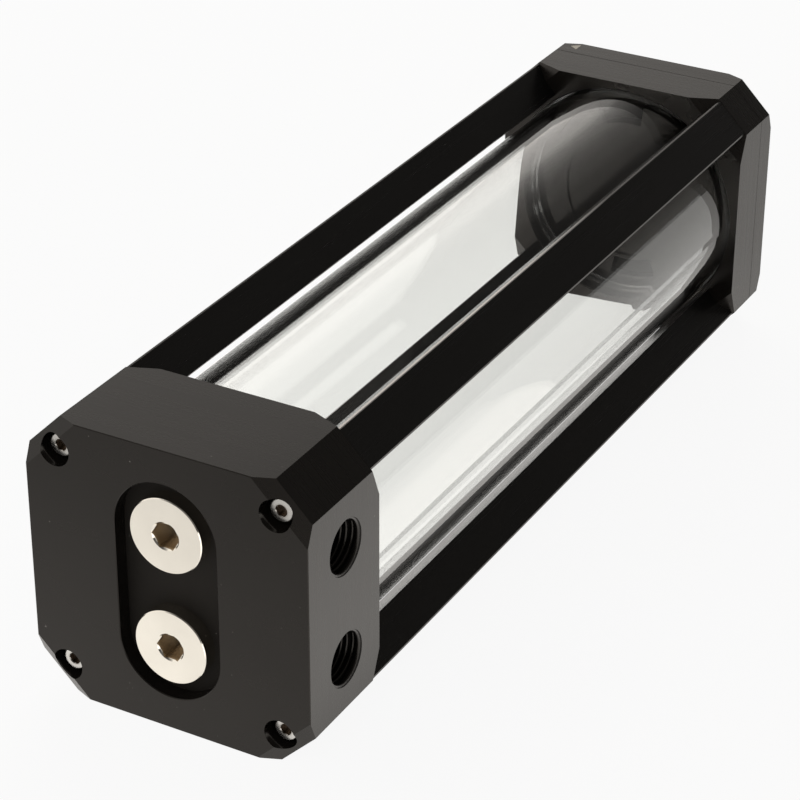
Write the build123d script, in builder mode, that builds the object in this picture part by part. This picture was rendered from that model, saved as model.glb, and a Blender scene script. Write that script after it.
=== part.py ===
from build123d import *
import math
import os

# Water cooling reservoir: a clear tube held between a square base block and a square cap by
# four corner struts. A bayonet lid closes the cap: its disc has a gap for each of the cap's lugs
# and locks behind them by a part of a turn.
# It lies on one flat side. Y runs along the tube from the base to the lid, Z is up, and the
# origin is on the surface that it lies on, under the middle of its length. Lengths are in mm.

# Blocks: outline and depths along the tube
block_width = 70.0
corner_leg = 8.5
base_depth = 29.6
strut_length = 194.8
cap_depth = 13.4
lid_gap = 0.08
lid_thickness = 7.22
seam_chamfer = 0.06
edge_break = 0.18

# Sloping facets across the corners of the end faces
facet_angle = 30.0
face_facet_run = 3.5
strut_facet_run = 5.3

# Glass tube, its seats and its face seals; the setback runs in from a flat side of the block
tube_setback = 2.5
tube_wall = 3.5
tube_edge_fillet = 0.5
tube_end_gap = 0.5
seat_depth = 6.0
seat_clearance = 0.3
seat_lip = 0.4
tube_groove_width = 2.8
tube_groove_depth = 1.8
seal_slack = 0.02

# Struts
strut_width = 11.2
strut_tube_gap = 1.2
strut_inset = 0.1
strut_chamfer = 0.35
mitre_gap = 0.1

# Ports: standard G1/4 thread, taken at its outer radius
port_radius = 6.58
port_spacing = 28.0
side_port_station = 15.2
side_port_depth = 11.0
passage_radius = 5.0
passage_reach = 21.0

# Recess in the base's end face and the hollow behind it
pocket_radius = 12.7
pocket_depth = 4.0
front_wall = 8.5
sump_radius = 24.0

# Stop plugs
plug_head_radius = 9.0
plug_head_thickness = 3.7
plug_thread_length = 8.0
plug_thread_clearance = 0.06
plug_rim_chamfer = 0.2
plug_socket_flats = 6.0
plug_socket_depth = 5.0
plug_socket_lip = 0.35
plug_groove_width = 1.8
plug_groove_depth = 1.4

# Socket head screws, M3
screw_radius = 1.5
screw_head_radius = 2.85
screw_head_height = 3.0
screw_head_rounding = 0.4
screw_socket_flats = 2.5
screw_socket_depth = 1.6
screw_socket_lip = 0.2
screw_hole_radius = 1.7
counterbore_radius = 3.8
base_counterbore_depth = 5.6
cap_counterbore_depth = 3.4
base_screw_length = 35.0
cap_screw_length = 20.0
tap_clearance = 0.02
tap_spare = 2.0

# Bayonet closure between cap and lid; the insets run in from the tube's bore
cap_bore_inset = 1.5
spigot_clearance = 0.08
flange_thickness = 2.4
flange_gap = 0.2
neck_clearance = 0.2
recess_rim = 1.2
recess_depth = 0.6
lobe_inset = 3.1
lobe_reach = 5.6
lobe_thickness = 1.7
lobe_angle = 149.0
lobe_count = 2
notch_clearance = 0.5
notch_angle = 152.0
notch_offset = 23.0
lock_turn = 30.0
lid_groove_width = 2.4
lid_groove_depth = 1.9
lid_seal_clearance = 0.03

# Stations along the tube, counted from the base's end face
base_rear = base_depth
cap_front = base_rear + strut_length
cap_rear = cap_front + cap_depth
lid_front = cap_rear + lid_gap
total_length = lid_front + lid_thickness
sump_floor = pocket_depth + front_wall
base_shoulder = base_rear - seat_depth
cap_shoulder = cap_front + seat_depth
flange_back = cap_shoulder + flange_thickness
lobe_back = cap_shoulder - flange_gap
lobe_front = lobe_back - lobe_thickness

# Radii that several pieces share
tube_radius = block_width / 2 - tube_setback
tube_bore_radius = tube_radius - tube_wall
seat_radius = tube_radius + seat_clearance
tube_seal_radius = tube_radius - tube_wall / 2
band_radius = (block_width - corner_leg) / math.sqrt(2)
strut_outer = band_radius - strut_inset
strut_inner = tube_radius + strut_tube_gap
strut_middle = (strut_outer + strut_inner) / 2
facet_slope = math.tan(math.radians(facet_angle))
plug_thread_radius = port_radius - plug_thread_clearance
plug_seal_radius = port_radius + plug_groove_width / 2
cap_bore_radius = tube_bore_radius - cap_bore_inset
spigot_radius = cap_bore_radius - spigot_clearance
lobe_radius = tube_bore_radius - lobe_inset
neck_radius = lobe_radius - lobe_reach
recess_radius = neck_radius - recess_rim

# Fixed places in the part's frame
end_face = -total_length / 2
axis_height = block_width / 2
tube_axis = Axis((0, end_face, axis_height), (0, 1, 0))
corner_names = {45: "bottom_right", 135: "bottom_left", 225: "top_left", 315: "top_right"}
port_names = {1: "upper", -1: "lower"}


def across(station):
    """Plane across the tube: x is right, y is down, and it looks along the tube to the lid."""
    return Plane(origin=(0, end_face + station, axis_height), x_dir=(1, 0, 0), z_dir=(0, 1, 0))


def facing_base(station):
    """Plane across the tube that looks back past the base: x is right and y is up."""
    return Plane(origin=(0, end_face + station, axis_height), x_dir=(1, 0, 0), z_dir=(0, -1, 0))


def along(angle):
    """Plane that holds the tube's axis: x runs outwards at the angle and y runs to the lid."""
    out = (math.cos(math.radians(angle)), 0, -math.sin(math.radians(angle)))
    side = (math.sin(math.radians(angle)), 0, math.cos(math.radians(angle)))
    return Plane(origin=(0, end_face, axis_height), x_dir=out, z_dir=side)


def port_height(side):
    """Height of the upper port (side 1) or the lower port (side -1) over the tube's axis."""
    return side * port_spacing / 2


def add_block(front, depth):
    """Square block with 45 degree corner bands, from the front station over its depth."""
    with BuildSketch(across(front)) as outline:
        Rectangle(block_width, block_width)
        chamfer(outline.vertices(), corner_leg)
    extrude(outline.sketch, amount=depth)


def break_edges(block, end):
    """Break the long edges of a square end face; end is 0 for the first face, -1 for the last."""
    outline = block.edges().group_by(Axis.Y)[end]
    chamfer(outline.filter_by(Axis.X) + outline.filter_by(Axis.Z), edge_break)


def break_rim(radius):
    """Break the rim of a hole of a radius, at the places that are set."""
    Cone(
        radius - edge_break,
        radius + edge_break,
        2 * edge_break,
        align=(Align.CENTER, Align.CENTER, Align.CENTER),
        mode=Mode.SUBTRACT,
    )


def cut_socket(plane, flats, depth, lip):
    """Hexagon socket with a round lead-in, cut back from a plane."""
    with BuildSketch(plane) as hexagon:
        RegularPolygon(flats / 2, 6, major_radius=False)
    extrude(hexagon.sketch, amount=-depth, mode=Mode.SUBTRACT)
    with Locations(plane):
        Cone(
            flats / math.sqrt(3) - lip,
            flats / math.sqrt(3) + lip,
            2 * lip,
            align=(Align.CENTER, Align.CENTER, Align.CENTER),
            mode=Mode.SUBTRACT,
        )


def cut_facets(station, run, towards):
    """Slope the four corners back from an end face; towards is 1 if the block lies before it."""
    reach = run + band_radius
    start = band_radius - run
    for angle in corner_names:
        with BuildSketch(along(angle)) as wedge:
            with BuildLine():
                Polyline(
                    (start, station),
                    (start + reach, station),
                    (start + reach, station - towards * reach * facet_slope),
                    close=True,
                )
            make_face()
        extrude(wedge.sketch, amount=block_width / 2, both=True, mode=Mode.SUBTRACT)


def cut_disc(front, depth, radius):
    """Round cut on the tube's axis, from the front station over its depth."""
    with BuildSketch(across(front)) as disc:
        Circle(radius)
    extrude(disc.sketch, amount=depth, mode=Mode.SUBTRACT)


def cut_groove(front, depth, middle_radius, width):
    """Ring groove on the tube's axis, from the front station over its depth."""
    with BuildSketch(across(front)) as ring:
        Circle(middle_radius + width / 2)
        Circle(middle_radius - width / 2, mode=Mode.SUBTRACT)
    extrude(ring.sketch, amount=depth, mode=Mode.SUBTRACT)


def cut_lip(station, radius, width, towards):
    """Bevel round the mouth of a bore at a station; towards is 1 if the bore lies beyond it."""
    with BuildSketch(along(0)) as bevel:
        with BuildLine():
            Polyline(
                (radius - width, station - towards * width),
                (radius + 2 * width, station - towards * width),
                (radius - width, station + towards * 2 * width),
                close=True,
            )
        make_face()
    revolve(bevel.sketch, axis=tube_axis, mode=Mode.SUBTRACT)


def add_sectors(front, depth, inner, outer, angle, offset, mode):
    """Ring sectors, one for each lobe of the lid, with the first one's middle at the offset angle."""
    spread = 360 / lobe_count
    for index in range(lobe_count):
        middle = math.radians(offset + index * spread)
        half = math.radians(angle / 2)
        with BuildSketch(across(front)) as sector:
            with BuildLine():
                Line(point_at(inner, middle - half), point_at(outer, middle - half))
                ThreePointArc(
                    point_at(outer, middle - half),
                    point_at(outer, middle),
                    point_at(outer, middle + half),
                )
                Line(point_at(outer, middle + half), point_at(inner, middle + half))
                ThreePointArc(
                    point_at(inner, middle + half),
                    point_at(inner, middle),
                    point_at(inner, middle - half),
                )
            make_face()
        extrude(sector.sketch, amount=depth, mode=mode)


def point_at(radius, turn):
    """Point of a sketch at a radius and a turn in radians."""
    return (radius * math.cos(turn), radius * math.sin(turn))


def finish(part, name):
    """Label a finished piece and write it."""
    part.label = name
    export_step(part, f"parts/{name}.step")


os.makedirs("parts", exist_ok=True)

# Base block
with BuildPart() as base_block:
    add_block(0, base_depth)
    break_edges(base_block, 0)
    break_edges(base_block, -1)
    cut_facets(0, face_facet_run, -1)
    cut_facets(base_rear, strut_facet_run, 1)
    # Recess in the end face for the two plugs
    with BuildSketch(across(0)):
        SlotCenterToCenter(port_spacing, 2 * pocket_radius, rotation=90)
    extrude(amount=pocket_depth, mode=Mode.SUBTRACT)
    pocket_rim = base_block.faces().sort_by(Axis.Y)[0].inner_wires().edges()
    chamfer(pocket_rim, edge_break)
    # Hollow that the tube opens into, the tube's seat and its seal groove
    cut_disc(sump_floor, base_rear - sump_floor, sump_radius)
    cut_disc(base_shoulder, seat_depth, seat_radius)
    cut_lip(base_rear, seat_radius, seat_lip, -1)
    cut_groove(base_shoulder - tube_groove_depth, tube_groove_depth, tube_seal_radius, tube_groove_width)
    # Ports behind the plugs, and the open ports in the right side with their passages
    for side in port_names:
        with Locations(facing_base(pocket_depth).location * Location((0, port_height(side), 0))):
            Hole(port_radius, front_wall)
        side_port = Plane(
            origin=(block_width / 2, end_face + side_port_station, axis_height + port_height(side)),
            x_dir=(0, 1, 0),
            z_dir=(1, 0, 0),
        )
        with Locations(side_port):
            Hole(port_radius, side_port_depth)
            Hole(passage_radius, passage_reach)
    # Counterbored screw holes at the corners
    with Locations(facing_base(0)):
        with PolarLocations(strut_middle, len(corner_names), start_angle=45):
            CounterBoreHole(screw_hole_radius, counterbore_radius, base_counterbore_depth, base_depth)
            break_rim(counterbore_radius)
finish(base_block.part, "base_block")

# Stop plugs with a hexagon socket, one behind the other's twin
for side, port_name in port_names.items():
    plug_plane = Plane(
        origin=(0, end_face + pocket_depth, axis_height + port_height(side)),
        x_dir=(1, 0, 0),
        z_dir=(0, -1, 0),
    )
    with BuildPart() as plug:
        with BuildSketch(plug_plane):
            Circle(plug_head_radius)
        extrude(amount=plug_head_thickness)
        rim = plug.edges().filter_by(GeomType.CIRCLE).sort_by(Axis.Y)[0]
        chamfer(rim, plug_rim_chamfer)
        with BuildSketch(plug_plane):
            Circle(plug_thread_radius)
        extrude(amount=-plug_thread_length)
        thread_end = plug.edges().filter_by(GeomType.CIRCLE).sort_by(Axis.Y)[-1]
        chamfer(thread_end, 2 * plug_rim_chamfer)
        # Groove under the head for the seal
        with BuildSketch(plug_plane):
            Circle(plug_seal_radius + plug_groove_width / 2)
            Circle(plug_thread_radius, mode=Mode.SUBTRACT)
        extrude(amount=plug_groove_depth, mode=Mode.SUBTRACT)
        plug_front = plug_plane.offset(plug_head_thickness)
        cut_socket(plug_front, plug_socket_flats, plug_socket_depth, plug_socket_lip)
    finish(plug.part, f"plug_{port_name}")

    with BuildPart() as plug_seal:
        with BuildSketch(plug_plane):
            Circle(plug_seal_radius + plug_groove_width / 2 - seal_slack)
            Circle(plug_seal_radius - plug_groove_width / 2 + seal_slack, mode=Mode.SUBTRACT)
        extrude(amount=plug_groove_depth - seal_slack)
        fillet(plug_seal.edges().group_by(Axis.Y)[0], plug_groove_depth / 4)
    finish(plug_seal.part, f"plug_seal_{port_name}")


def seal_ring(middle_radius, station, cord):
    """Round-section seal ring on the tube's axis."""
    with BuildPart() as ring:
        with BuildSketch(along(0)):
            with Locations((middle_radius, station)):
                Circle(cord / 2)
        revolve(axis=tube_axis)
    return ring.part


# Face seals under the two ends of the tube
tube_seal_cord = tube_groove_depth + tube_end_gap - seal_slack
seal_offset = (tube_end_gap - tube_groove_depth) / 2
finish(seal_ring(tube_seal_radius, base_shoulder + seal_offset, tube_seal_cord), "base_tube_seal")
finish(seal_ring(tube_seal_radius, cap_shoulder - seal_offset, tube_seal_cord), "cap_tube_seal")

# Glass tube with rounded ends
with BuildPart() as glass_tube:
    with BuildSketch(across(base_shoulder + tube_end_gap)):
        Circle(tube_radius)
        Circle(tube_bore_radius, mode=Mode.SUBTRACT)
    extrude(amount=cap_shoulder - base_shoulder - 2 * tube_end_gap)
    fillet(glass_tube.edges().filter_by(GeomType.CIRCLE), tube_edge_fillet)
finish(glass_tube.part, "glass_tube")

# Struts: the ends are mitred to sit on the blocks' corner facets
mitre_start = band_radius - strut_facet_run
mitre_rise = (strut_outer - mitre_start) * facet_slope - mitre_gap
base_front_end = base_rear - mitre_rise - tap_spare
base_tap_end = base_counterbore_depth + base_screw_length + tap_spare
cap_front_end = cap_front + mitre_rise + tap_spare
cap_tap_end = cap_rear - cap_counterbore_depth - cap_screw_length - tap_spare
for angle, corner_name in corner_names.items():
    with BuildPart() as strut:
        with BuildSketch(along(angle)):
            with BuildLine():
                Polyline(
                    (strut_inner, base_rear),
                    (mitre_start, base_rear),
                    (strut_outer, base_rear - mitre_rise),
                    (strut_outer, cap_front + mitre_rise),
                    (mitre_start, cap_front),
                    (strut_inner, cap_front),
                    close=True,
                )
            make_face()
        extrude(amount=strut_width / 2, both=True)
        outer_edges = strut.edges().filter_by(Axis.Y).sort_by_distance((0, 0, axis_height))[-2:]
        chamfer(outer_edges, strut_chamfer)
        middle = along(angle).from_local_coords((strut_middle, 0, 0))
        # Tapped holes for the screws, cut from beyond the mitred ends
        for end, tap_end in ((base_front_end, base_tap_end), (cap_front_end, cap_tap_end)):
            tap_plane = Plane(origin=(middle.X, end_face + end, middle.Z), x_dir=(1, 0, 0), z_dir=(0, 1, 0))
            with BuildSketch(tap_plane):
                Circle(screw_radius + tap_clearance)
            extrude(amount=tap_end - end, mode=Mode.SUBTRACT)
    finish(strut.part, f"strut_{corner_name}")

# Cap between tube and lid, with the bayonet lugs between two wide notches
with BuildPart() as top_cap:
    add_block(cap_front, cap_depth)
    cut_facets(cap_front, strut_facet_run, -1)
    chamfer(top_cap.faces().sort_by(Axis.Y)[-1].edges(), seam_chamfer)
    cut_disc(cap_front, seat_depth, seat_radius)
    cut_lip(cap_front, seat_radius, seat_lip, 1)
    cut_groove(cap_shoulder, tube_groove_depth, tube_seal_radius, tube_groove_width)
    cut_disc(cap_shoulder, flange_thickness, neck_radius + neck_clearance)
    add_sectors(
        cap_shoulder,
        flange_thickness,
        neck_radius - neck_clearance,
        lobe_radius + notch_clearance,
        notch_angle,
        notch_offset,
        Mode.SUBTRACT,
    )
    cut_disc(flange_back, cap_rear - flange_back, cap_bore_radius)
    with Locations(across(cap_rear)):
        with PolarLocations(strut_middle, len(corner_names), start_angle=45):
            CounterBoreHole(screw_hole_radius, counterbore_radius, cap_counterbore_depth, cap_depth)
finish(top_cap.part, "top_cap")

# Lid: square plate, sealed spigot, neck and two wide lobes behind the cap's lugs
with BuildPart() as lid:
    add_block(lid_front, lid_thickness)
    chamfer(lid.faces().sort_by(Axis.Y)[0].edges(), seam_chamfer)
    break_edges(lid, -1)
    cut_facets(total_length, face_facet_run, 1)
    with BuildSketch(across(flange_back + flange_gap)):
        Circle(spigot_radius)
    extrude(amount=lid_front - flange_back - flange_gap)
    with BuildSketch(across(lobe_front)):
        Circle(neck_radius)
    extrude(amount=flange_back + flange_gap - lobe_front)
    add_sectors(
        lobe_front,
        lobe_thickness,
        neck_radius - neck_clearance,
        lobe_radius,
        lobe_angle,
        notch_offset - lock_turn,
        Mode.ADD,
    )
    cut_disc(lobe_front, recess_depth, recess_radius)
    spigot_middle = (flange_back + flange_gap + lid_front) / 2
    cut_groove(
        spigot_middle - lid_groove_width / 2,
        lid_groove_width,
        spigot_radius,
        2 * lid_groove_depth,
    )
finish(lid.part, "lid")

lid_seal_cord = lid_groove_depth + spigot_clearance - lid_seal_clearance
lid_seal_radius = spigot_radius - lid_groove_depth + lid_seal_cord / 2
finish(seal_ring(lid_seal_radius, spigot_middle, lid_seal_cord), "lid_seal")


def socket_screw(plane, length):
    """Socket head screw whose head stands on the plane and whose shank runs back from it."""
    with BuildPart() as screw:
        with BuildSketch(plane):
            Circle(screw_head_radius)
        extrude(amount=screw_head_height)
        fillet(screw.faces().sort_by(Axis(plane.origin, plane.z_dir))[-1].edges(), screw_head_rounding)
        with BuildSketch(plane):
            Circle(screw_radius)
        extrude(amount=-length)
        head_front = plane.offset(screw_head_height)
        cut_socket(head_front, screw_socket_flats, screw_socket_depth, screw_socket_lip)
    return screw.part


# Screws from the base and from the cap into the struts
for angle, corner_name in corner_names.items():
    middle = along(angle).from_local_coords((strut_middle, 0, 0))
    base_screw_plane = Plane(
        origin=(middle.X, end_face + base_counterbore_depth, middle.Z),
        x_dir=(1, 0, 0),
        z_dir=(0, -1, 0),
    )
    finish(socket_screw(base_screw_plane, base_screw_length), f"base_screw_{corner_name}")
    cap_screw_plane = Plane(
        origin=(middle.X, end_face + cap_rear - cap_counterbore_depth, middle.Z),
        x_dir=(1, 0, 0),
        z_dir=(0, 1, 0),
    )
    finish(socket_screw(cap_screw_plane, cap_screw_length), f"cap_screw_{corner_name}")
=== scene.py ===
import math

import bmesh
import bpy
from mathutils import Matrix, Vector


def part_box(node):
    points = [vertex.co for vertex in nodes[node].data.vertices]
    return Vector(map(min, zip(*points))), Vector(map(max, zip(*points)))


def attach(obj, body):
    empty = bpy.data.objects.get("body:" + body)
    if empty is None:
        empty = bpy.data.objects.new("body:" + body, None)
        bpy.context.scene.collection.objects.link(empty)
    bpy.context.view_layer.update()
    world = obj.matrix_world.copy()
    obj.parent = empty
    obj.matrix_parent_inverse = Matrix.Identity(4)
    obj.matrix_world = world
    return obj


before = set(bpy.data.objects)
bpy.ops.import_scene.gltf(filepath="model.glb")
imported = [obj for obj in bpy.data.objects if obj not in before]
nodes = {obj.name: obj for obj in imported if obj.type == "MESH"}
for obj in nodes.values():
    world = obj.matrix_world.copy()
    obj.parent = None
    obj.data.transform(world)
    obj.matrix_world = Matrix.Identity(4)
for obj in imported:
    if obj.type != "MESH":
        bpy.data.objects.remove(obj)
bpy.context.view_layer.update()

# Lengths here are in metres, in the part's frame: X across, Y along the tube to the lid, Z up.
block_width = 0.070
axis_height = block_width / 2
end_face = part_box("base_block")[0].y
lid_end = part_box("lid")[1].y

# Side ports, and the thread ridge and lead-in that are added to each
port_radius = 0.00658
port_depth = 0.011
port_station = end_face + 0.0152
port_rise = 0.014
thread_pitch = 0.001337
thread_height = 0.00086
thread_floor_gap = 0.0009
thread_mouth_gap = 0.0017
lead_in = 0.00088
wall_overlap = 0.00002

# Sockets of the plugs and of the base's screws, which get painted shade inside; a centre is X and Z
plug_centres = [(0.0, axis_height + side * port_rise) for side in (1, -1)]
plug_socket_radius = 0.0037
plug_socket_start = end_face + 0.0008
screw_reach = 0.02725
screw_centres = [(x * screw_reach, axis_height + z * screw_reach) for x in (-1, 1) for z in (-1, 1)]
screw_socket_radius = 0.00172
screw_socket_start = end_face + 0.00245
socket_fade = 0.0006
socket_roughness = 0.27

# Inner surfaces of the base: the recess round the plugs and the counterbores of the screws
recess_radius = 0.0269
recess_start = end_face + 0.0003
recess_floor_start = end_face + 0.0038
recess_floor_end = end_face + 0.0045
recess_wall_roughness = 0.12
recess_floor_roughness = 0.75
counterbore_radius = 0.0039
counterbore_start = end_face - 0.0001
counterbore_roughness = 0.12

# Inner surfaces of the cap and the lid: the bore with the bayonet, and the gap behind its lugs
inner_radius = 0.033
bayonet_start = 0.0
bayonet_end = lid_end - 0.0085
bayonet_roughness = 0.10
gap_start = lid_end - 0.0123
gap_roughness = 0.8

# Painted highlight on the upper edge of the top right strut, for the bright reflection of a rounded edge:
# the heights it lies between, and how it fades to the lid
highlight_edge_bottom = 0.06922
highlight_edge_top = 0.06928
highlight_fade_start = -0.020
highlight_fade_end = 0.035
highlight_most = 0.80
highlight_least = 0.03

# Turn mark: an arrow head printed on the lid's upper side
mark_tip = -0.0242
mark_length = 0.0024
mark_half_width = 0.0018
mark_middle = lid_end - 0.0030
mark_sink = 0.00002
mark_thickness = 0.00005


# Node helpers

def new_material(name):
    """Material with a Principled shader; returns the material, its node tree and the shader."""
    material = bpy.data.materials.new(name)
    material.use_nodes = True
    tree = material.node_tree
    return material, tree, tree.nodes["Principled BSDF"]


def add(tree, kind, **settings):
    """Node of a kind with its properties set."""
    node = tree.nodes.new(kind)
    for key, value in settings.items():
        setattr(node, key, value)
    return node


def feed(tree, socket, source):
    """Link an output to a socket, or set the socket where the source is a colour or a number."""
    if isinstance(source, bpy.types.NodeSocket):
        tree.links.new(source, socket)
    elif isinstance(source, tuple):
        socket.default_value = (*source, 1.0)
    else:
        socket.default_value = source


def calculate(tree, operation, first, second):
    """Result of an operation on two values."""
    node = add(tree, "ShaderNodeMath", operation=operation)
    feed(tree, node.inputs[0], first)
    feed(tree, node.inputs[1], second)
    return node.outputs[0]


def mix_values(tree, factor, first, second):
    """First value where the factor is 0, second where it is 1."""
    node = add(tree, "ShaderNodeMix", data_type="FLOAT")
    tree.links.new(factor, node.inputs["Factor"])
    feed(tree, node.inputs["A"], first)
    feed(tree, node.inputs["B"], second)
    return node.outputs[0]


def mix_colours(tree, factor, first, second):
    """First colour where the factor is 0, second where it is 1."""
    node = add(tree, "ShaderNodeMix", data_type="RGBA")
    # The node's sockets for colours come after those for numbers and vectors.
    first_socket = node.inputs[6]
    second_socket = node.inputs[7]
    tree.links.new(factor, node.inputs["Factor"])
    feed(tree, first_socket, first)
    feed(tree, second_socket, second)
    return node.outputs[2]


def spread(tree, value, low, high, start=0.3, end=0.7):
    """Value that goes from low to high while the given one goes from start to end."""
    node = add(tree, "ShaderNodeMapRange")
    node.inputs["From Min"].default_value = start
    node.inputs["From Max"].default_value = end
    node.inputs["To Min"].default_value = low
    node.inputs["To Max"].default_value = high
    tree.links.new(value, node.inputs["Value"])
    return node.outputs["Result"]


def object_place(tree):
    """Place in the object's own coordinates, in metres."""
    return add(tree, "ShaderNodeTexCoord").outputs["Object"]


def stretched_place(tree, scale):
    """Place in the object's own coordinates, multiplied by a scale for each axis."""
    mapping = add(tree, "ShaderNodeMapping")
    mapping.inputs["Scale"].default_value = scale
    tree.links.new(object_place(tree), mapping.inputs["Vector"])
    return mapping.outputs["Vector"]


def split(tree, place):
    """Outputs X, Y and Z of a place or direction."""
    node = add(tree, "ShaderNodeSeparateXYZ")
    tree.links.new(place, node.inputs[0])
    return node.outputs


def noise(tree, place, scale, detail=3.0, roughness=0.5):
    """Noise value at a place."""
    node = add(tree, "ShaderNodeTexNoise")
    node.inputs["Scale"].default_value = scale
    node.inputs["Detail"].default_value = detail
    node.inputs["Roughness"].default_value = roughness
    tree.links.new(place, node.inputs["Vector"])
    return node.outputs["Fac"]


def bump(tree, height, strength, distance):
    """Surface normal bumped by a height."""
    node = add(tree, "ShaderNodeBump")
    node.inputs["Strength"].default_value = strength
    node.inputs["Distance"].default_value = distance
    tree.links.new(height, node.inputs["Height"])
    return node.outputs["Normal"]


def near_line(tree, place, centre, radius):
    """1 where a place is nearer than the radius to a line along Y through a centre, else 0."""
    centred = add(tree, "ShaderNodeVectorMath", operation="SUBTRACT")
    centred.inputs[1].default_value = (centre[0], 0.0, centre[1])
    across = add(tree, "ShaderNodeVectorMath", operation="MULTIPLY")
    across.inputs[1].default_value = (1.0, 0.0, 1.0)
    length = add(tree, "ShaderNodeVectorMath", operation="LENGTH")
    tree.links.new(place, centred.inputs[0])
    tree.links.new(centred.outputs[0], across.inputs[0])
    tree.links.new(across.outputs[0], length.inputs[0])
    return calculate(tree, "LESS_THAN", length.outputs["Value"], radius)


def inside_mask(tree, radius, start, end):
    """1 where a place is nearer the tube's axis than the radius and between two stations, else 0."""
    place = object_place(tree)
    near = near_line(tree, place, (0.0, axis_height), radius)
    station = split(tree, place)["Y"]
    before = calculate(tree, "LESS_THAN", station, end)
    after = calculate(tree, "GREATER_THAN", station, start)
    return calculate(tree, "MULTIPLY", near, calculate(tree, "MULTIPLY", before, after))


def socket_mask(tree, centre, radius, start):
    """1 in a hole along Y round a centre, fading in behind its start, else 0."""
    place = object_place(tree)
    near = near_line(tree, place, centre, radius)
    deep = spread(tree, split(tree, place)["Y"], 0.0, 1.0, start, start + socket_fade)
    return calculate(tree, "MULTIPLY", near, deep)


# Materials

warm_tint = (1.0, 0.94, 0.88, 1.0)


def black_block(name, roughness, streak_range, zones, holes=()):
    """Machined black block: satin, with faint cutter streaks and fine grains of dust.

    A zone is a radius, two stations and a roughness, and a hole is a centre, radius, start and
    roughness. Where zones overlap the later one counts, and a hole counts over any zone.
    """
    material, tree, shader = new_material(name)
    place = object_place(tree)
    patches = noise(tree, place, scale=45.0)
    black = mix_colours(
        tree, spread(tree, patches, 0.0, 1.0), (0.0070, 0.0060, 0.0052), (0.0098, 0.0084, 0.0073)
    )
    dust = noise(tree, place, scale=900.0, detail=1.0)
    specks = spread(tree, dust, 0.0, 1.0, start=0.80, end=0.84)
    feed(tree, shader.inputs["Base Color"], mix_colours(tree, specks, black, (0.16, 0.15, 0.14)))
    streaks = noise(tree, stretched_place(tree, (25.0, 1400.0, 25.0)), scale=1.0, detail=4.0, roughness=0.6)
    skin = spread(tree, streaks, roughness - streak_range, roughness + streak_range)
    for radius, start, end, zone_roughness in zones:
        skin = mix_values(tree, inside_mask(tree, radius, start, end), skin, zone_roughness)
    for centre, radius, start, hole_roughness in holes:
        skin = mix_values(tree, socket_mask(tree, centre, radius, start), skin, hole_roughness)
    feed(tree, shader.inputs["Roughness"], skin)
    shader.inputs["IOR"].default_value = 1.385
    shader.inputs["Specular Tint"].default_value = warm_tint
    grain = noise(tree, place, scale=2600.0, detail=2.0)
    feed(tree, shader.inputs["Normal"], bump(tree, grain, strength=0.04, distance=0.00001))
    return material


def painted_edge_highlight(tree):
    """Share of painted highlight, a bright metal colour, on the upper edge of the top right strut; it fades
    towards the lid.
    """
    place = split(tree, object_place(tree))
    edge = spread(tree, place["Z"], 0.0, 1.0, highlight_edge_bottom, highlight_edge_top)
    faded = spread(tree, place["Y"], highlight_most, highlight_least, highlight_fade_start, highlight_fade_end)
    right_side = spread(tree, place["X"], 0.0, 1.0, start=-0.001, end=0.001)
    return calculate(tree, "MULTIPLY", calculate(tree, "MULTIPLY", edge, faded), right_side)


def anodised_strut():
    """Black anodised bar, drawn along its length, with a painted highlight on one edge."""
    material, tree, shader = new_material("strut_black")
    patches = noise(tree, stretched_place(tree, (1.0, 0.3, 1.0)), scale=60.0)
    black = mix_colours(
        tree, spread(tree, patches, 0.0, 1.0), (0.0045, 0.0044, 0.0043), (0.0065, 0.0063, 0.0061)
    )
    # Painted highlight: bright metal colour on the strut's upper edge, for the reflection of a rounded edge
    edge_highlight = painted_edge_highlight(tree)
    feed(tree, shader.inputs["Base Color"], mix_colours(tree, edge_highlight, black, (0.90, 0.86, 0.83)))
    feed(tree, shader.inputs["Metallic"], edge_highlight)
    lines = noise(tree, stretched_place(tree, (2200.0, 14.0, 2200.0)), scale=1.0, roughness=0.55)
    feed(tree, shader.inputs["Roughness"], spread(tree, lines, 0.22, 0.28))
    shader.inputs["IOR"].default_value = 1.42
    shader.inputs["Specular Tint"].default_value = warm_tint
    feed(tree, shader.inputs["Normal"], bump(tree, lines, strength=0.05, distance=0.00001))
    return material


def clear_glass():
    """Clear tube wall with a very faint tint and slight smears."""
    material, tree, shader = new_material("tube_glass")
    shader.inputs["Base Color"].default_value = (0.992, 0.992, 0.984, 1.0)
    shader.inputs["Transmission Weight"].default_value = 1.0
    shader.inputs["IOR"].default_value = 1.49
    smears = noise(tree, stretched_place(tree, (1.0, 0.25, 1.0)), scale=35.0, detail=4.0)
    feed(tree, shader.inputs["Roughness"], spread(tree, smears, 0.0, 0.004))
    return material


def plated(name, colour, shade, roughness, painted_socket_shade, centres, socket_radius, socket_start):
    """Bright plated metal with a slight tarnish, and painted shade inside the hexagon sockets."""
    material, tree, shader = new_material(name)
    shader.inputs["Metallic"].default_value = 1.0
    place = object_place(tree)
    tarnish = 0.07
    patches = noise(tree, place, scale=120.0, detail=4.0)
    plating = mix_colours(tree, spread(tree, patches, 0.0, 1.0), shade, colour)
    skin = spread(tree, noise(tree, place, scale=700.0), roughness, roughness + tarnish)
    for centre in centres:
        inside = socket_mask(tree, centre, socket_radius, socket_start)
        # Painted shade: a darker brown colour inside each hexagon socket
        plating = mix_colours(tree, inside, plating, painted_socket_shade)
        skin = mix_values(tree, inside, skin, socket_roughness)
    feed(tree, shader.inputs["Base Color"], plating)
    feed(tree, shader.inputs["Roughness"], skin)
    grain = noise(tree, place, scale=1500.0, detail=2.0)
    feed(tree, shader.inputs["Normal"], bump(tree, grain, strength=0.06, distance=0.00002))
    return material


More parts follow.
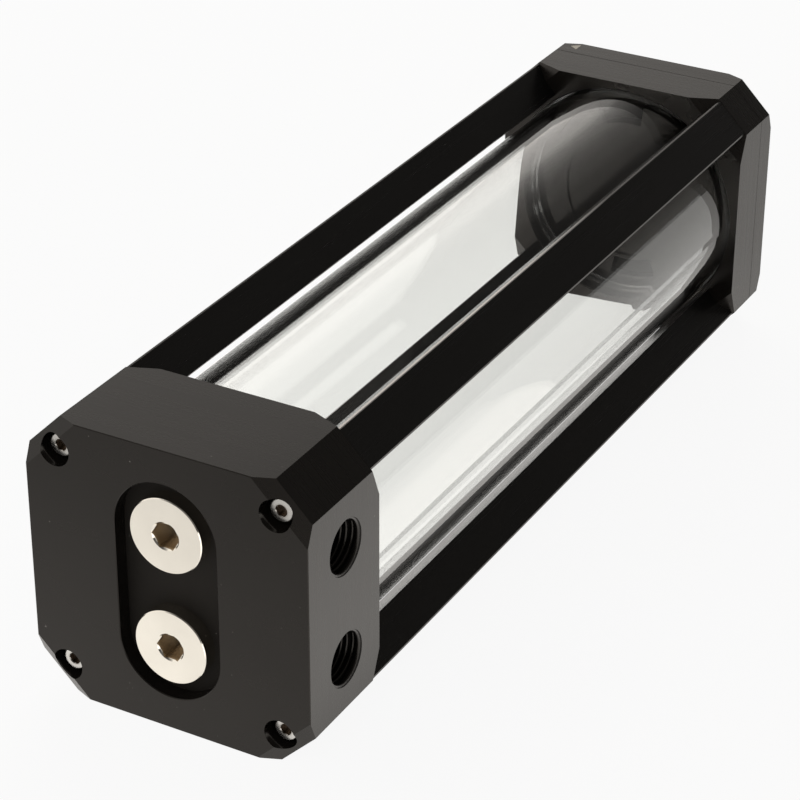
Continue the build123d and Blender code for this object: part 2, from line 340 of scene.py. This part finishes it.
def seal_rubber():
    """Matt black rubber with a fine moulded grain."""
    material, tree, shader = new_material("seal_rubber")
    grain = noise(tree, object_place(tree), scale=1800.0)
    black = mix_colours(tree, grain, (0.010, 0.010, 0.010), (0.020, 0.019, 0.019))
    feed(tree, shader.inputs["Base Color"], black)
    feed(tree, shader.inputs["Roughness"], spread(tree, grain, 0.45, 0.6))
    feed(tree, shader.inputs["Normal"], bump(tree, grain, strength=0.2, distance=0.00003))
    return material


def pale_print():
    """Thin pale grey print of the turn mark."""
    material, tree, shader = new_material("mark_print")
    wear = noise(tree, object_place(tree), scale=2500.0)
    grey = mix_colours(tree, spread(tree, wear, 0.0, 1.0), (0.36, 0.33, 0.27), (0.52, 0.48, 0.40))
    feed(tree, shader.inputs["Base Color"], grey)
    feed(tree, shader.inputs["Roughness"], spread(tree, wear, 0.4, 0.55))
    return material


def dress(node_name, material):
    """Give a node its material on every slot."""
    mesh = nodes[node_name].data
    if not mesh.materials:
        mesh.materials.append(material)
    for index in range(len(mesh.materials)):
        mesh.materials[index] = material


base_material = black_block(
    "base_black", roughness=0.28, streak_range=0.02,
    zones=[
        (recess_radius, recess_start, recess_floor_start, recess_wall_roughness),
        (inner_radius, recess_floor_start, recess_floor_end, recess_floor_roughness),
    ],
    holes=[
        (centre, counterbore_radius, counterbore_start, counterbore_roughness)
        for centre in screw_centres
    ],
)
cap_material = black_block(
    "cap_black", roughness=0.27, streak_range=0.04,
    zones=[
        (inner_radius, bayonet_start, bayonet_end, bayonet_roughness),
        (inner_radius, gap_start, bayonet_end, gap_roughness),
    ],
)
strut_material = anodised_strut()
glass_material = clear_glass()
# The plug's socket colour is painted shade inside its hexagon sockets
plug_material = plated(
    "plug_nickel", colour=(0.925, 0.885, 0.800), shade=(0.865, 0.825, 0.745), roughness=0.10,
    painted_socket_shade=(0.50, 0.43, 0.34), centres=plug_centres,
    socket_radius=plug_socket_radius, socket_start=plug_socket_start,
)
# The screw's socket colour is painted shade inside its hexagon sockets
screw_material = plated(
    "screw_steel", colour=(0.66, 0.65, 0.63), shade=(0.54, 0.53, 0.51), roughness=0.18,
    painted_socket_shade=(0.24, 0.20, 0.165), centres=screw_centres,
    socket_radius=screw_socket_radius, socket_start=screw_socket_start,
)
rubber_material = seal_rubber()
print_material = pale_print()

for name in nodes:
    if name.startswith("strut"):
        dress(name, strut_material)
    elif "seal" in name:
        dress(name, rubber_material)
    elif "screw" in name:
        dress(name, screw_material)
    elif name.startswith("plug"):
        dress(name, plug_material)
    elif name == "glass_tube":
        dress(name, glass_material)
    elif name in ("lid", "top_cap"):
        dress(name, cap_material)
    else:
        dress(name, base_material)


# Pieces made here

def add_piece(name, mesh, body, material, smooth=True):
    """Object for a mesh, riding on a body."""
    piece = bpy.data.objects.new(name, mesh)
    bpy.context.scene.collection.objects.link(piece)
    mesh.materials.append(material)
    for polygon in mesh.polygons:
        polygon.use_smooth = smooth
    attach(piece, body)


def finished_mesh(name, build):
    """Mesh of what was built, with its normals outwards."""
    mesh = bpy.data.meshes.new(name)
    bmesh.ops.recalc_face_normals(build, faces=build.faces)
    build.to_mesh(mesh)
    build.free()
    return mesh


def join_rings(build, rings):
    """Faces between each ring of corners and the next."""
    for before, after in zip(rings, rings[1:]):
        for index in range(len(before)):
            following = (index + 1) % len(before)
            build.faces.new((before[index], before[following], after[following], after[index]))


def section_ring(build, centre, turn, section):
    """Corners of a section at a turn round a bore along X; each has a place along it and a reach."""
    ring = []
    for along, reach in section:
        place = Vector((along, reach * math.cos(turn), reach * math.sin(turn)))
        ring.append(build.verts.new(centre + place))
    return ring


def add_thread(build, centre):
    """Helical ridge that stands inwards from a bore along X; its ends taper into the wall."""
    steps_per_turn = 48
    taper_steps = 20
    least_share = 0.02
    flank = thread_pitch * 0.46
    crest = thread_pitch * 0.07
    start = axis_height - port_depth + thread_floor_gap
    length = port_depth - thread_floor_gap - thread_mouth_gap
    steps = int(length / thread_pitch * steps_per_turn)
    outer = port_radius + wall_overlap
    rings = []
    for step in range(steps + 1):
        along = start + length * step / steps
        share = min(1.0, step / taper_steps, (steps - step) / taper_steps)
        inner = port_radius - thread_height * max(share, least_share)
        section = (
            (along - flank, outer),
            (along - crest, inner),
            (along + crest, inner),
            (along + flank, outer),
        )
        rings.append(section_ring(build, centre, 2 * math.pi * step / steps_per_turn, section))
    join_rings(build, rings)
    build.faces.new(list(reversed(rings[0])))
    build.faces.new(rings[-1])


def add_lead_in(build, centre):
    """Bevelled ring at the mouth of a bore along X, as wide as the lead-in."""
    steps = 96
    face_setback = 0.00001
    back_depth = 1.6 * lead_in
    outer = port_radius + wall_overlap
    section = (
        (axis_height - face_setback, outer),
        (axis_height - lead_in, outer - lead_in),
        (axis_height - back_depth, outer),
    )
    rings = [section_ring(build, centre, 2 * math.pi * step / steps, section) for step in range(steps)]
    join_rings(build, rings + rings[:1])


def thread_mesh(name, centre):
    """Thread ridge and lead-in of the side port at a centre."""
    build = bmesh.new()
    add_thread(build, centre)
    add_lead_in(build, centre)
    return finished_mesh(name, build)


def mark_mesh(name):
    """Thin raised arrow head on the upper side of the lid, pointing to minus X."""
    build = bmesh.new()
    back = mark_tip + mark_length
    outline = ((mark_tip, 0.0), (back, -mark_half_width), (back, mark_half_width))
    levels = []
    for height in (0.0, mark_thickness):
        level = block_width - mark_sink + height
        levels.append([build.verts.new((x, mark_middle + y, level)) for x, y in outline])
    lower, upper = levels
    build.faces.new(lower)
    build.faces.new(list(reversed(upper)))
    join_rings(build, levels)
    return finished_mesh(name, build)


for port_name, side in (("upper", 1), ("lower", -1)):
    port_centre = Vector((0.0, port_station, axis_height + side * port_rise))
    ridge_name = f"thread_{port_name}"
    add_piece(ridge_name, thread_mesh(ridge_name, port_centre), "reservoir", base_material)
add_piece("turn_mark", mark_mesh("turn_mark"), "lid", print_material, smooth=False)

# Camera, solved from the photograph's straight edges
camera_place = Vector((0.27874, -0.52473, 0.35293))
camera_right = Vector((0.87410541, 0.48572599, 0.00316059))
camera_down = Vector((0.23856368, -0.42362958, -0.87385659))
camera_forward = Vector((-0.42311594, 0.76459678, -0.48617349))
focal_pixels = 2741.78
picture_pixels = 800.0
camera_data = bpy.data.cameras.new("camera")
camera = bpy.data.objects.new("camera", camera_data)
bpy.context.scene.collection.objects.link(camera)
camera_data.sensor_width = 36.0
camera_data.lens = focal_pixels / picture_pixels * camera_data.sensor_width
camera_data.clip_start = 0.01
camera_data.clip_end = 20.0
camera_turn = Matrix((camera_right, -camera_down, -camera_forward)).transposed()
camera.matrix_world = Matrix.Translation(camera_place) @ camera_turn.to_4x4()
bpy.context.scene.camera = camera

# Floor, room and lamps; the room's stops are a height and how light it is there
floor_half_width = 6.0
floor_glow_share = 0.92
room_lean = 0.9
room_stops = ((0.05, 1.0), (0.12, 0.64), (0.35, 0.30), (0.62, 0.09), (0.75, 0.07), (0.90, 0.13))
room_warmth = (1.0, 0.96, 0.91)


def floor_strength_with_painted_light(tree, mirrored_ray, passed_ray):
    """Strength of the floor's glow: even to the camera; in mirrored light it has painted shade on the
    camera's side of the object and painted light to its right, and through glass a painted shadow under the
    tube.
    """
    place = split(tree, object_place(tree))
    # Painted shade: the floor dimmer on the camera's side of the object, as seen in reflections
    front_across = spread(tree, place["X"], low=1.08, high=0.88, start=-0.08, end=0.02)
    front_along = spread(tree, place["Y"], low=0.65, high=1.17, start=-0.23, end=-0.13)
    front_painted_shade = calculate(tree, "MULTIPLY", front_across, front_along)
    # Painted light: the floor brighter to the right of the object, as seen in reflections
    side_painted_light = spread(tree, place["Y"], low=1.65, high=0.92, start=-0.08, end=0.17)
    is_beside = spread(tree, place["X"], low=0.0, high=1.0, start=0.033, end=0.052)
    mirrored = mix_values(tree, is_beside, front_painted_shade, side_painted_light)
    # Painted shadow: the floor dimmer under the tube, as seen through the glass
    tube_painted_shadow = spread(tree, place["X"], low=1.03, high=0.93, start=-0.045, end=-0.005)
    return mix_values(tree, passed_ray, mix_values(tree, mirrored_ray, 1.0, mirrored), tube_painted_shadow)


def floor_white():
    """White that glows to the camera, to mirrors and through glass, over a little plain white."""
    material = bpy.data.materials.new("floor_white")
    material.use_nodes = True
    tree = material.node_tree
    tree.nodes.clear()
    rays = add(tree, "ShaderNodeLightPath").outputs
    mirrored_ray = rays["Is Glossy Ray"]
    passed_ray = rays["Is Transmission Ray"]
    # Painted tint of the floor's glow: warmer in reflections, slightly tinted through glass
    warm = mix_colours(tree, mirrored_ray, (1.0, 1.0, 1.0), (1.0, 0.97, 0.93))
    glow = add(tree, "ShaderNodeEmission")
    feed(tree, glow.inputs["Color"], mix_colours(tree, passed_ray, warm, (0.995, 1.0, 0.971)))
    feed(tree, glow.inputs["Strength"], floor_strength_with_painted_light(tree, mirrored_ray, passed_ray))
    plain = add(tree, "ShaderNodeBsdfDiffuse")
    feed(tree, plain.inputs["Color"], (0.82, 0.82, 0.81))
    seen = calculate(tree, "MAXIMUM", rays["Is Camera Ray"], mirrored_ray)
    seen_or_passed = calculate(tree, "MAXIMUM", seen, passed_ray)
    mixer = add(tree, "ShaderNodeMixShader")
    feed(tree, mixer.inputs["Fac"], calculate(tree, "MULTIPLY", seen_or_passed, floor_glow_share))
    feed(tree, mixer.inputs[1], plain.outputs[0])
    feed(tree, mixer.inputs[2], glow.outputs[0])
    feed(tree, add(tree, "ShaderNodeOutputMaterial").inputs["Surface"], mixer.outputs[0])
    return material


def stage_floor():
    """Plain white floor that keeps a faint shadow."""
    half = floor_half_width
    mesh = bpy.data.meshes.new("floor")
    corners = [(-half, -half, 0.0), (half, -half, 0.0), (half, half, 0.0), (-half, half, 0.0)]
    mesh.from_pydata(corners, [], [(0, 1, 2, 3)])
    mesh.materials.append(floor_white())
    floor = bpy.data.objects.new("floor", mesh)
    bpy.context.scene.collection.objects.link(floor)


def room_colour(tree):
    """Warm white low in the room that darkens with height, and sooner to the right."""
    direction = split(tree, add(tree, "ShaderNodeTexCoord").outputs["Generated"])
    lean = calculate(tree, "MULTIPLY", direction["X"], room_lean)
    ramp = add(tree, "ShaderNodeValToRGB")
    feed(tree, ramp.inputs["Fac"], calculate(tree, "ADD", lean, direction["Z"]))
    elements = ramp.color_ramp.elements
    elements.remove(elements[0])
    for index, (height, light) in enumerate(room_stops):
        element = elements.new(height) if index else elements[0]
        element.position = height
        element.color = (*(light * part for part in room_warmth), 1.0)
    return ramp.outputs["Color"]


def studio_world():
    """White room for the camera; a shaded one for reflections and light."""
    world = bpy.data.worlds.new("studio")
    bpy.context.scene.world = world
    world.use_nodes = True
    tree = world.node_tree
    tree.nodes.clear()
    room = add(tree, "ShaderNodeBackground")
    feed(tree, room.inputs["Color"], room_colour(tree))
    white = add(tree, "ShaderNodeBackground")
    feed(tree, white.inputs["Color"], (1.0, 1.0, 1.0))
    mixer = add(tree, "ShaderNodeMixShader")
    feed(tree, mixer.inputs["Fac"], add(tree, "ShaderNodeLightPath").outputs["Is Camera Ray"])
    feed(tree, mixer.inputs[1], room.outputs[0])
    feed(tree, mixer.inputs[2], white.outputs[0])
    feed(tree, add(tree, "ShaderNodeOutputWorld").inputs["Surface"], mixer.outputs[0])


def soft_lamp(name, direction, distance, width, height, power):
    """Area lamp in a direction from the object's middle, facing it."""
    data = bpy.data.lights.new(name, "AREA")
    data.shape = "RECTANGLE"
    data.size = width
    data.size_y = height
    data.energy = power
    lamp = bpy.data.objects.new(name, data)
    bpy.context.scene.collection.objects.link(lamp)
    outward = Vector(direction).normalized()
    lamp.location = Vector((0, 0, axis_height)) + outward * distance
    lamp.rotation_euler = outward.to_track_quat("Z", "Y").to_euler()
    lamp.visible_glossy = False
    lamp.visible_transmission = False


stage_floor()
studio_world()
soft_lamp("lamp_back", (-0.40, 0.70, 0.65), distance=1.6, width=1.2, height=0.9, power=10.0)
soft_lamp("lamp_front", (0.20, -0.75, 0.65), distance=1.8, width=1.4, height=1.0, power=8.0)
bpy.context.scene.view_settings.view_transform = "Standard"
